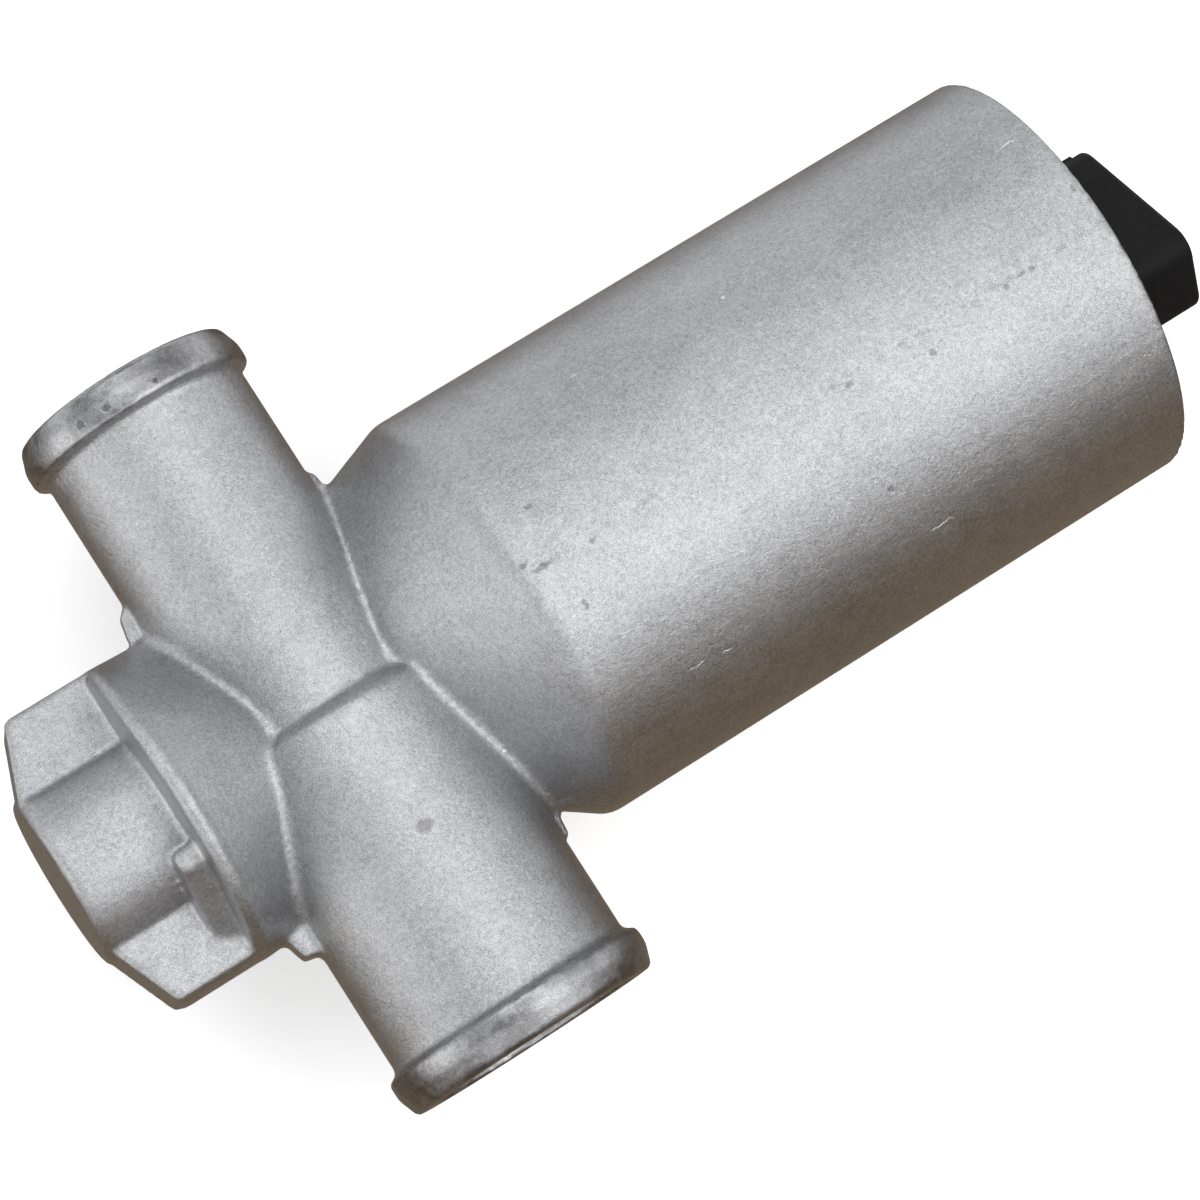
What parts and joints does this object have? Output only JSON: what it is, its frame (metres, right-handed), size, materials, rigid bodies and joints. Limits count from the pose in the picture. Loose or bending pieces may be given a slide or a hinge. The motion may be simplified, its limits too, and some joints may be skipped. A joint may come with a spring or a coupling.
{
  "type": "idle air control valve",
  "caption": "Rotary idle air control valve: cast barrel with a motor, two hose stubs across its waist, a winged nose and a two-pin plug socket; a spring-returned slide opens the air port.",
  "frame": {"origin": "motor axis, in the middle of the barrel where the rubber mounting ring grips it", "axes": "+X along the motor axis to the plug, +Y out of the narrower hose stub, +Z square to both"},
  "size_m": [0.144, 0.0845, 0.05],
  "materials": {
    "cast_alloy": "blasted casting",
    "turned_alloy": "turned",
    "sintered_bronze": "sintered",
    "seal_rubber": "matt",
    "spring_steel": "tempered",
    "bright_steel": "ground",
    "yoke_steel": "plated",
    "ferrite": "matt",
    "enamelled_copper": "lacquered",
    "contact_brass": "bright",
    "brush_carbon": "matt",
    "inner_plastic": "moulded",
    "black_plastic": "moulded"
  },
  "bodies": {
    "valve_body": {"housing": "cast_alloy", "front_bush": "sintered_bronze", "front_shaft_seal": "seal_rubber", "bush_circlip": "spring_steel", "stop_pin_closed": "bright_steel", "stop_pin_open": "bright_steel", "spring_post": "bright_steel", "return_spring": "spring_steel", "wave_washer": "spring_steel", "spacer_sleeve": "inner_plastic", "yoke_tube": "yoke_steel", "magnet_left": "ferrite", "magnet_right": "ferrite", "magnet_clip_top": "spring_steel", "magnet_clip_bottom": "spring_steel", "bearing_bridge": "turned_alloy", "rear_bush": "sintered_bronze", "brush_plate": "inner_plastic", "brush_inner": "brush_carbon", "brush_outer": "brush_carbon", "brush_arm_inner": "contact_brass", "brush_arm_outer": "contact_brass", "terminal_1": "contact_brass", "terminal_2": "contact_brass", "connector_cap": "black_plastic", "cap_seal": "seal_rubber"},
    "rotor": {"rotor_shaft": "bright_steel", "slide_pin": "bright_steel", "rotary_slide": "turned_alloy", "spring_collar": "sintered_bronze", "stop_lever": "spring_steel", "armature_core": "yoke_steel", "coil_former": "inner_plastic", "winding": "enamelled_copper", "slip_ring_carrier": "inner_plastic", "slip_ring_inner": "contact_brass", "slip_ring_outer": "contact_brass"}
  },
  "joints": [
    {"name": "slide_rotation", "type": "hinge", "parent": "valve_body", "child": "rotor", "pos_m": [0, 0, 0], "axis": [1, 0, 0], "range_deg": [0, 60], "stiffness_Nm_per_rad": 0.02, "springref_deg": -14.9}
  ]
}
